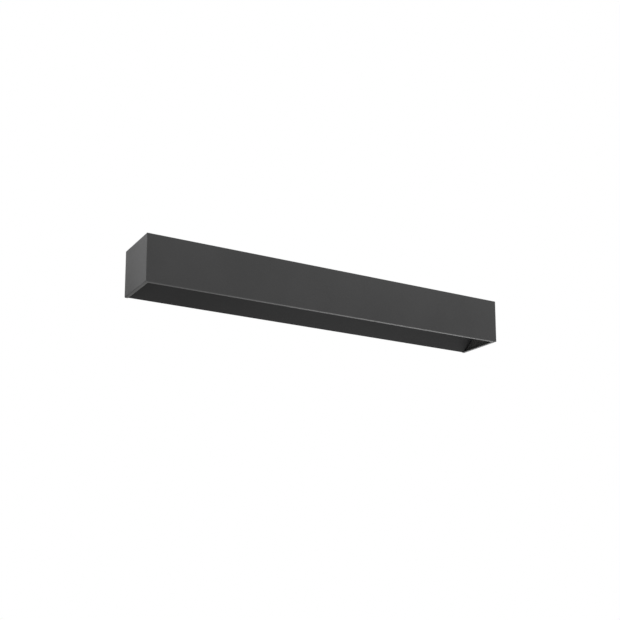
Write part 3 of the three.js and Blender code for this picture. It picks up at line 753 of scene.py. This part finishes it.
class LightBarSizes(PropertyGroup):
    """Edges and details of the bar's pieces."""

    housing_edge: length_prop("Radius of the housing's ground edges", "Housing edge", 0.0004)
    sheet_edge: length_prop("Radius of a punched sheet's edges", "Sheet edge", 0.0002)
    moulded_edge: length_prop("Radius of a moulded piece's edges", "Moulded edge", 0.0004)
    lens_sheet: length_prop("Thickness of the lens", "Lens sheet", 0.0015)
    lens_bend: length_prop("Radius of the lens's bends", "Lens bend", 0.001)
    m3_shank: length_prop("Radius of the M3 screws", "M3", 0.0015)
    m4_shank: length_prop("Radius of the M4 screw and studs", "M4", 0.002)
    m3_pitch: length_prop("Pitch of the M3 thread", "M3 pitch", 0.0005)
    m4_pitch: length_prop("Pitch of the M4 thread", "M4 pitch", 0.0007)
    mains_wire: length_prop("Radius of the supply wires", "Supply wire", 0.0011)
    led_wire: length_prop("Radius of the light source's wires", "Light source wire", 0.0008)
    chips: count_prop("Number of chips on each board", "Chips", 20)
    chip_pitch: length_prop("Distance between chips", "Chip pitch", 0.0136)
    chip_start: length_prop("Distance from a board's inner end to a chip", "First chip", 0.0095)
    gel_half: length_prop("Half the width of a chip's phosphor", "Phosphor", 0.0011)
    gel_height: length_prop("Height of a chip's phosphor", "Phosphor height", 0.00025)
    choke_turns: count_prop("Turns of wire on the choke", "Choke turns", 44)


class LightBarFinishes(PropertyGroup):
    """Colours of the finishes."""

    housing: colour_prop("Anthracite powder coat", "Housing", (0.042, 0.042, 0.0425))
    baffle: colour_prop("Dark anti-glare coat", "Baffles", (0.0145, 0.0145, 0.015))
    chassis: colour_prop("White reflecting paint", "Chassis", (0.78, 0.78, 0.75))
    zinc: colour_prop("Zinc plating", "Bracket", (0.5, 0.52, 0.53))
    steel: colour_prop("Bright plating", "Fasteners", (0.62, 0.63, 0.64))
    opal: colour_prop("Opal acrylic", "Lens", (0.87, 0.86, 0.82))
    board_white: colour_prop("White solder mask", "LED boards", (0.86, 0.86, 0.83))
    trace_white: colour_prop("Traces under the white mask", "LED traces", (0.7, 0.69, 0.64))
    board_green: colour_prop("Green solder mask", "Driver board", (0.02, 0.12, 0.05))
    trace_green: colour_prop("Traces under the green mask", "Driver traces", (0.05, 0.2, 0.07))
    case: colour_prop("Driver case", "Driver case", (0.72, 0.72, 0.7))
    terminal: colour_prop("Grey polyamide", "Terminals", (0.27, 0.28, 0.3))
    lever: colour_prop("Orange polyamide", "Levers", (0.7, 0.18, 0.015))
    ferrite: colour_prop("Ferrite", "Ferrite", (0.03, 0.03, 0.032))
    tape: colour_prop("Winding tape", "Tape", (0.62, 0.42, 0.05))
    copper: colour_prop("Enamelled copper", "Copper", (0.56, 0.2, 0.07))
    sleeve: colour_prop("Capacitor's sleeve", "Sleeve", (0.02, 0.022, 0.028))
    sleeve_band: colour_prop("Band on the capacitor's sleeve", "Band", (0.5, 0.52, 0.55))
    wire_brown: colour_prop("Line wire", "Line", (0.09, 0.035, 0.015))
    wire_blue: colour_prop("Neutral wire", "Neutral", (0.02, 0.08, 0.38))
    wire_green: colour_prop("Earth wire", "Earth", (0.05, 0.26, 0.03))
    earth_stripe: colour_prop("Earth wire's stripe", "Earth stripe", (0.75, 0.62, 0.02))
    wire_red: colour_prop("Light source's positive wire", "Positive", (0.38, 0.02, 0.015))
    wire_black: colour_prop("Light source's negative wire", "Negative", (0.015, 0.015, 0.016))
    rubber: colour_prop("Black rubber", "Rubber", (0.02, 0.02, 0.02))
    phosphor: colour_prop("Phosphor gel", "Phosphor", (0.82, 0.62, 0.12))
    floor: colour_prop("Studio floor", "Floor", (0.76, 0.76, 0.75))
    flag: colour_prop("Black card of the studio", "Flag", (0.004, 0.004, 0.004))


def settings():
    scene = bpy.context.scene
    return scene.light_bar_sizes, scene.light_bar_finishes


# ---- operators ----


class LIGHTBAR_OT_stage(Operator):
    """Camera, white surround, soft lights and a pale floor"""

    bl_idname = "lightbar.stage"
    bl_label = "Stage"

    def execute(self, context):
        stage = context.scene.light_bar_stage
        context.scene.view_settings.view_transform = "Standard"
        self.add_camera(context, stage)
        self.add_surround(context, stage)
        self.add_lights(stage)
        finishes = context.scene.light_bar_finishes
        level = Vector((0, 0, stage.floor_level))
        reach = stage.floor_reach
        across, along = Vector((reach, 0, 0)), Vector((0, reach, 0))
        self.add_card("floor", level, across, along, studio_floor(finishes.floor))
        self.add_flag(finishes)
        return {"FINISHED"}

    def add_flag(self, finishes):
        """A black card, out of view, that the left end's lower edge mirrors as a dark line."""
        distance, half_width, half_height = 0.8, 0.26, 0.3
        (left, front, bottom), _high = CAD_BOUNDS
        towards = Vector((-0.32, 0.89, -0.2)).normalized()
        across = towards.cross(Vector((0, 0, 1))).normalized()
        along = across.cross(towards) * half_height
        centre = Vector((left, front / 2, bottom)) + towards * distance
        cloth = black_cloth(finishes.flag)
        card = self.add_card("flag", centre, across * half_width, along, cloth)
        card.visible_camera = False

    @staticmethod
    def add_card(name, centre, across, along, material):
        """A flat four-cornered sheet of the studio: its middle and its two half sides."""
        corners = [centre + across * u + along * v for u, v in ((-1, -1), (1, -1), (1, 1), (-1, 1))]
        mesh = bpy.data.meshes.new(name)
        mesh.from_pydata(corners, [], [(0, 1, 2, 3)])
        mesh.materials.append(material)
        piece = bpy.data.objects.new(name, mesh)
        bpy.context.scene.collection.objects.link(piece)
        return piece

    @staticmethod
    def add_camera(context, stage):
        data = bpy.data.cameras.new("camera")
        data.lens = stage.lens
        data.shift_y = stage.rise
        data.clip_start = 0.01
        camera = bpy.data.objects.new("camera", data)
        camera.location = stage.camera_place
        camera.rotation_euler = (math.pi / 2 + stage.pitch, 0, -stage.heading)
        context.scene.collection.objects.link(camera)
        context.scene.camera = camera

    @staticmethod
    def add_surround(context, stage):
        world = bpy.data.worlds.new("surround")
        world.use_nodes = True
        background = world.node_tree.nodes["Background"]
        background.inputs["Color"].default_value = (1, 1, 1, 1)
        background.inputs["Strength"].default_value = stage.surround
        context.scene.world = world

    @staticmethod
    def add_lights(stage):
        """Soft lights, each with its place, what it faces, its width and height and its power:
        three for the whole bar, one for the baffles and a strip for the left end's front."""
        (left, front, _bottom), _high = CAD_BOUNDS
        behind_front, beside_end, under_bar = 0.008, 0.05, 0.6
        bar = Vector((0, front / 2, 0))
        baffles = Vector((0.3, -0.14, 0))
        below = baffles - Vector((0, 0, under_bar))
        end = Vector((left, front + behind_front, 0))
        beside = end - Vector((beside_end, 0, 0))
        for name, place, aim, size, watts in (
            ("key_light", Vector((-1.5, -0.9, -0.35)), bar, (1.1, 1.1), stage.key_power),
            ("fill_light", Vector((0.9, -1.5, 1.0)), bar, (1.6, 1.0), stage.fill_power),
            ("rim_light", Vector((1.9, 2.15, -0.9)), bar, (1.6, 1.0), stage.rim_power),
            ("under_light", below, baffles, (0.4, 0.3), stage.under_power),
            ("end_light", beside, end, (0.02, 0.3), stage.end_power),
        ):
            data = bpy.data.lights.new(name, "AREA")
            data.shape = "RECTANGLE"
            data.size, data.size_y = size
            data.energy = watts
            light = bpy.data.objects.new(name, data)
            light.location = place
            light.visible_camera = False
            light.rotation_euler = (aim - place).to_track_quat("-Z", "Y").to_euler()
            bpy.context.scene.collection.objects.link(light)


class LIGHTBAR_OT_housing(Operator):
    """The powder-coated housing, with ground edges, and its hanging rail"""

    bl_idname = "lightbar.housing"
    bl_label = "Housing"

    def execute(self, context):
        sizes, finishes = settings()
        coat = housing_coat(finishes.housing)
        eased_pieces(["housing_shell"], coat, sizes.housing_edge, steps=3)
        eased_pieces(["hanging_rail"], coat, sizes.sheet_edge)
        return {"FINISHED"}


class LIGHTBAR_OT_baffles(Operator):
    """The two anti-glare baffles"""

    bl_idname = "lightbar.baffles"
    bl_label = "Baffles"

    def execute(self, context):
        sizes, finishes = settings()
        coat = baffle_coat(finishes.baffle)
        eased_pieces(["baffle_front", "baffle_rear"], coat, sizes.sheet_edge)
        return {"FINISHED"}


class LIGHTBAR_OT_lens(Operator):
    """The opal lens, a shallow extruded tray"""

    bl_idname = "lightbar.lens"
    bl_label = "Lens"

    def execute(self, context):
        sizes, finishes = settings()
        low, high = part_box("lens")
        half = sizes.lens_sheet / 2
        front, back = low.y + half, high.y - half
        floor, rim = low.z + half, high.z
        corners = [(front, rim), (front, floor), (back, floor), (back, rim)]
        section = folded_section(corners, sizes.lens_bend, sizes.lens_sheet)
        points, faces = carried_along_x(section, np.linspace(low.x, high.x, 25))
        mesh = mesh_of("lens_skin", points, faces)
        piece = add_piece(mesh, opal_acrylic(finishes.opal), ["lens"])
        ease_edges(piece, sizes.sheet_edge, 3)
        return {"FINISHED"}


class LIGHTBAR_OT_bracket(Operator):
    """The zinc-plated wall bracket"""

    bl_idname = "lightbar.bracket"
    bl_label = "Wall bracket"

    def execute(self, context):
        sizes, finishes = settings()
        plate = zinc_plate(finishes.zinc)
        eased_pieces(["wall_bracket"], plate, sizes.sheet_edge, "bracket")
        return {"FINISHED"}


class LIGHTBAR_OT_chassis(Operator):
    """The white chassis, and the zinc-plated plate that carries the cable's grommet"""

    bl_idname = "lightbar.chassis"
    bl_label = "Chassis"

    def execute(self, context):
        sizes, finishes = settings()
        enamel = white_enamel(finishes.chassis)
        eased_pieces(["chassis"], enamel, sizes.sheet_edge)
        plate = zinc_plate(finishes.zinc)
        eased_pieces(["cable_plate"], plate, sizes.sheet_edge)
        return {"FINISHED"}


class LIGHTBAR_OT_light_source(Operator):
    """The LED boards, the phosphor on their chips, and the link between them"""

    bl_idname = "lightbar.light_source"
    bl_label = "Light source"

    def execute(self, context):
        sizes, finishes = settings()
        mask = solder_mask("white_mask", finishes.board_white, finishes.trace_white)
        gel = phosphor_gel(finishes.phosphor)
        sunk = 0.00005
        for side, node in ((-1, "led_board_left"), (1, "led_board_right")):
            eased_pieces([node], mask, sizes.sheet_edge / 2)
            low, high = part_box(node)
            inner = low.x if side > 0 else high.x
            x = inner + side * (sizes.chip_start + np.arange(sizes.chips) * sizes.chip_pitch)
            y, z = np.full_like(x, (low.y + high.y) / 2), np.full_like(x, low.z + sunk)
            centres = np.stack([x, y, z], 1)
            points, faces = pillow_grid(centres, sizes.gel_half, sizes.gel_height)
            mesh = mesh_of(node + "_gel", points, faces)
            add_piece(mesh, gel, [])
        plastic = moulded("link_plastic", finishes.case)
        eased_pieces(["board_bridge"], plastic, sizes.sheet_edge)
        return {"FINISHED"}


class LIGHTBAR_OT_driver(Operator):
    """The driver's case and lid and what is inside it"""

    bl_idname = "lightbar.driver"
    bl_label = "Driver"

    def execute(self, context):
        sizes, finishes = settings()
        edge = sizes.sheet_edge
        case = moulded("case_plastic", finishes.case, 0.42)
        eased_pieces(["driver_case", "driver_lid"], case, sizes.moulded_edge)
        green = solder_mask("green_mask", finishes.board_green, finishes.trace_green)
        eased_pieces(["driver_board"], green, edge)
        grey = moulded("terminal_plastic_small", finishes.terminal, 0.45)
        terminals = ["driver_terminal_in", "driver_terminal_out"]
        eased_pieces(terminals, grey, edge)
        centre, core_half = middle("driver_transformer").y, 0.0101
        stone = ferrite_and_tape(finishes.ferrite, finishes.tape, centre, core_half)
        eased_pieces(["driver_transformer"], stone, edge)
        self.add_capacitor(finishes)
        self.add_choke(sizes, finishes)
        return {"FINISHED"}

    @staticmethod
    def add_capacitor(finishes):
        """A can lying along X: a profile with rounded shoulders and a rolled groove, turned."""
        shoulder, groove_depth, groove_width, groove_place = 0.0008, 0.0005, 0.0012, 0.0045
        low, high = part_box("driver_capacitor")
        radius = (high.y - low.y) / 2
        span = high.x - low.x
        bend = np.linspace(0, math.pi / 2, 7)
        shoulder_r = radius - shoulder * (1 - np.sin(bend))
        shoulder_z = shoulder * (1 - np.cos(bend))
        wave = np.linspace(0, 1, 13)
        groove_r = radius - groove_depth / 2 * (1 - np.cos(2 * math.pi * wave))
        groove_z = span - groove_place + groove_width * wave
        r = np.concatenate([[0], shoulder_r, groove_r, shoulder_r[::-1], [0]])
        z = np.concatenate([[0], shoulder_z, groove_z, span - shoulder_z[::-1], [span]])
        centre = middle("driver_capacitor")
        points = turned(zip(r, z), sides=48)
        points = points[:, :, [2, 1, 0]] * [1, 1, -1] + [low.x, centre.y, centre.z]
        sleeve = shrink_sleeve(finishes.sleeve, finishes.sleeve_band)
        add_surface("driver_capacitor", points, sleeve, 32, attribute=side_of(points))

    @staticmethod
    def add_choke(sizes, finishes):
        """A ring whose tube swells by a rectified sine of the angle round it, one wave for each
        turn of wire, along two wound arcs with bare core between."""
        rows, sides = 528, 16
        bare, steep, lean, flatness = 0.28, 60, 0.35, 0.93
        core, layer, wire = 0.78, 0.12, 0.1
        low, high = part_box("driver_choke")
        thick = (high.z - low.z) / 2
        ring = (high.x - low.x) / 2 - thick
        a, b = full_turn(rows)[:, None], full_turn(sides)[None]
        wound = 1 / (1 + np.exp((bare - np.abs(np.sin(a))) * steep))
        wound = np.broadcast_to(wound, (rows, sides))
        wave = np.abs(np.sin(a * sizes.choke_turns / 2 + lean * np.sin(b)))
        tube = thick * (core + wound * (layer + wire * wave))
        r = ring + tube * np.cos(b) * flatness
        points = np.stack([r * np.cos(a), r * np.sin(a), tube * np.sin(b)], -1)
        points = points + middle("driver_choke")
        finish = winding_finish(finishes.ferrite, finishes.copper)
        add_surface("driver_choke", points, finish, 60, True, ("wound", wound))


class LIGHTBAR_OT_terminal(Operator):
    """The supply terminal and its three levers"""

    bl_idname = "lightbar.terminal"
    bl_label = "Supply terminal"

    def execute(self, context):
        sizes, finishes = settings()
        grey = moulded("terminal_plastic", finishes.terminal, 0.42)
        eased_pieces(["terminal_block"], grey, sizes.sheet_edge)
        orange = moulded("lever_plastic", finishes.lever, 0.35)
        for name in ("line", "neutral", "earth"):
            lever = ["terminal_lever_" + name]
            eased_pieces(lever, orange, sizes.sheet_edge, "lever_" + name)
        return {"FINISHED"}


class LIGHTBAR_OT_grommets(Operator):
    """The rubber rings where the cable and the inner wires pass a sheet"""

    bl_idname = "lightbar.grommets"
    bl_label = "Grommets"

    def execute(self, context):
        rubber = black_rubber(context.scene.light_bar_finishes.rubber)
        half_sheet = 0.00075
        for node, through, bore in (("cable_grommet", "y", 0.004), ("wire_grommet", "z", 0.0026)):
            low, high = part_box(node)
            size = high - low
            lip = getattr(size, through) / 2 - half_sheet
            points = grommet_surface(bore, size.x / 2 - lip, lip, half_sheet)
            if through == "y":
                points = points[:, :, [0, 2, 1]]
            add_surface(node, points + middle(node), rubber, 50, closed=True)
        return {"FINISHED"}


class LIGHTBAR_OT_fasteners(Operator):
    """Socket screws, countersunk lock screws, nuts and the earth lug"""

    bl_idname = "lightbar.fasteners"
    bl_label = "Fasteners"

    def execute(self, context):
        sizes, finishes = settings()
        steel = turned_steel(finishes.steel)
        m3 = sizes.m3_shank, sizes.m3_pitch
        m4 = sizes.m4_shank, sizes.m4_pitch
        for row in ("front", "rear"):
            for k in range(1, 5):
                self.add_screw(f"baffle_screw_{row}_{k}", steel, m3, M3_HEAD)
        for k in (1, 2):
            self.add_screw(f"driver_screw_{k}", steel, m3, M3_HEAD)
            self.add_screw(f"plate_screw_{k}", steel, m3, M3_HEAD, level=True)
        self.add_screw("earth_screw", steel, m4, M4_HEAD)
        for side in ("left", "right"):
            self.add_screw("lock_screw_" + side, steel, m3, LOCK_HEAD, countersunk=True)
        for k in range(1, 5):
            self.add_nut(f"chassis_nut_{k}", steel, sizes)
        eased_pieces(["earth_lug"], steel, sizes.sheet_edge / 2)
        return {"FINISHED"}

    @staticmethod
    def add_screw(node, steel, thread, head, countersunk=False, level=False):
        """A screw that hangs from its head along Z, or lies along Y with its head at the front."""
        low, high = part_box(node)
        centre = middle(node)
        proud = 0 if countersunk else head[1]
        span = (high.y - low.y if level else high.z - low.z) - proud
        points = screw_surface(thread, span, head, countersunk)
        if level:
            points = points[:, :, [0, 2, 1]] * [1, -1, 1] + [centre.x, low.y + proud, centre.z]
        else:
            points = points + [centre.x, centre.y, high.z - proud]
        add_surface(node, points, steel, 40)

    @staticmethod
    def add_nut(node, steel, sizes):
        """A nut whose flats face the way in which its box is narrower."""
        low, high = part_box(node)
        size = high - low
        thread_room = 0.00015
        points = nut_surface(sizes.m4_shank + thread_room, min(size.x, size.y), size.z)
        if size.x < size.y:
            points = points[:, :, [1, 0, 2]]
        centre = middle(node)
        points = points + [centre.x, centre.y, high.z]
        add_surface(node, points, steel, 40, closed=True)


class LIGHTBAR_OT_wires(Operator):
    """The wires between the terminal, the earth screw, the driver and the light source"""

    bl_idname = "lightbar.wires"
    bl_label = "Wires"

    # millimetres, as are the routes' corners: from a wire's end to the face that it enters, and
    # from the end of the driver's board to the end of its case
    GAP, CASE_END = 0.3, 2.5

    def execute(self, context):
        sizes, finishes = settings()
        mains, thin, half_gap = sizes.mains_wire, sizes.led_wire, 1.3
        brown = insulation("brown_insulation", finishes.wire_brown)
        blue = insulation("blue_insulation", finishes.wire_blue)
        green = insulation("earth_insulation", finishes.wire_green, finishes.earth_stripe)
        red = insulation("red_insulation", finishes.wire_red)
        black = insulation("black_insulation", finishes.wire_black)
        for node, route, radius, material, slot in (
            ("wire_line", self.mains_route("line", 0), mains, brown, "wire_brown"),
            ("wire_neutral", self.mains_route("neutral", 4), mains, blue, "wire_blue"),
            ("wire_earth", self.earth_route(), mains, green, "wire_green"),
            ("wire_led_positive", self.led_route(half_gap), thin, red, "wire_red"),
            ("wire_led_negative", self.led_route(-half_gap), thin, black, "wire_black"),
        ):
            points = tube_surface(catmull_rom(MM * np.array(route), 120), radius)
            add_surface(node, points, material, 60, attribute=side_of(points))
        return {"FINISHED"}

    def block_exit(self, name):
        """Where a conductor leaves the front of the supply terminal."""
        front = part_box("terminal_block")[0].y / MM - self.GAP
        return middle("terminal_lever_" + name).x / MM, front

    def mains_route(self, name, lead):
        """From the supply terminal to the driver; lead is how much farther forward it runs."""
        x, front = self.block_exit(name)
        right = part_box("driver_board")[1].x / MM + self.CASE_END + self.GAP
        return [
            (x, front, 10),
            (x, front - 4 - lead, 10),
            (x - 9, front - 10 - lead, 10.5),
            (right + 14, -50 - lead, 13),
            (right + 5, -50 - lead, 15),
            (right, -50 - lead, 15),
        ]

    def earth_route(self):
        """From the supply terminal to the earth lug."""
        x, front = self.block_exit("earth")
        screw = middle("earth_screw") / MM
        return [
            (x, front, 10),
            (x, front - 4, 10),
            (x + 8, front - 8, 9),
            (screw.x - 3, screw.y + 19, 7.3),
            (screw.x, screw.y + 15, 7.1),
            (screw.x, screw.y + 10, 7.1),
        ]

    def led_route(self, offset):
        """From the driver through the grommet to the light source, to one side of the middle."""
        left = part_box("driver_board")[0].x / MM - self.CASE_END - self.GAP
        hole = middle("wire_grommet") / MM
        y = hole.y + offset
        return [
            (left, -48 + offset, 15),
            (left - 6, -48 + offset, 15),
            (hole.x + 12, y, 14),
            (hole.x + 3, y, 12),
            (hole.x, y, 8),
            (hole.x, y, 3),
            (hole.x + 3, y, 0.8),
            (hole.x + 8, y, 0.8),
            (hole.x + 12, y, 1.2),
        ]


PIECES = (
    LIGHTBAR_OT_stage,
    LIGHTBAR_OT_housing,
    LIGHTBAR_OT_baffles,
    LIGHTBAR_OT_lens,
    LIGHTBAR_OT_bracket,
    LIGHTBAR_OT_chassis,
    LIGHTBAR_OT_light_source,
    LIGHTBAR_OT_driver,
    LIGHTBAR_OT_terminal,
    LIGHTBAR_OT_grommets,
    LIGHTBAR_OT_fasteners,
    LIGHTBAR_OT_wires,
)


class LIGHTBAR_PT_build(Panel):
    """Lists the pieces in the order in which they are made"""

    bl_label = "Light bar"
    bl_idname = "LIGHTBAR_PT_build"
    bl_space_type = "VIEW_3D"
    bl_region_type = "UI"
    bl_category = "Light bar"

    def draw(self, context):
        column = self.layout.column(align=True)
        for piece in PIECES:
            column.operator(piece.bl_idname)


GROUPS = (LightBarStage, LightBarSizes, LightBarFinishes)


def register():
    for item in (*GROUPS, *PIECES, LIGHTBAR_PT_build):
        bpy.utils.register_class(item)
    bpy.types.Scene.light_bar_stage = PointerProperty(type=LightBarStage)
    bpy.types.Scene.light_bar_sizes = PointerProperty(type=LightBarSizes)
    bpy.types.Scene.light_bar_finishes = PointerProperty(type=LightBarFinishes)


def unregister():
    del bpy.types.Scene.light_bar_finishes
    del bpy.types.Scene.light_bar_sizes
    del bpy.types.Scene.light_bar_stage
    for item in reversed((*GROUPS, *PIECES, LIGHTBAR_PT_build)):
        bpy.utils.unregister_class(item)


def main():
    register()
    for piece in PIECES:
        getattr(bpy.ops.lightbar, piece.bl_idname.split(".")[1])()


if __name__ == "__main__":
    main()
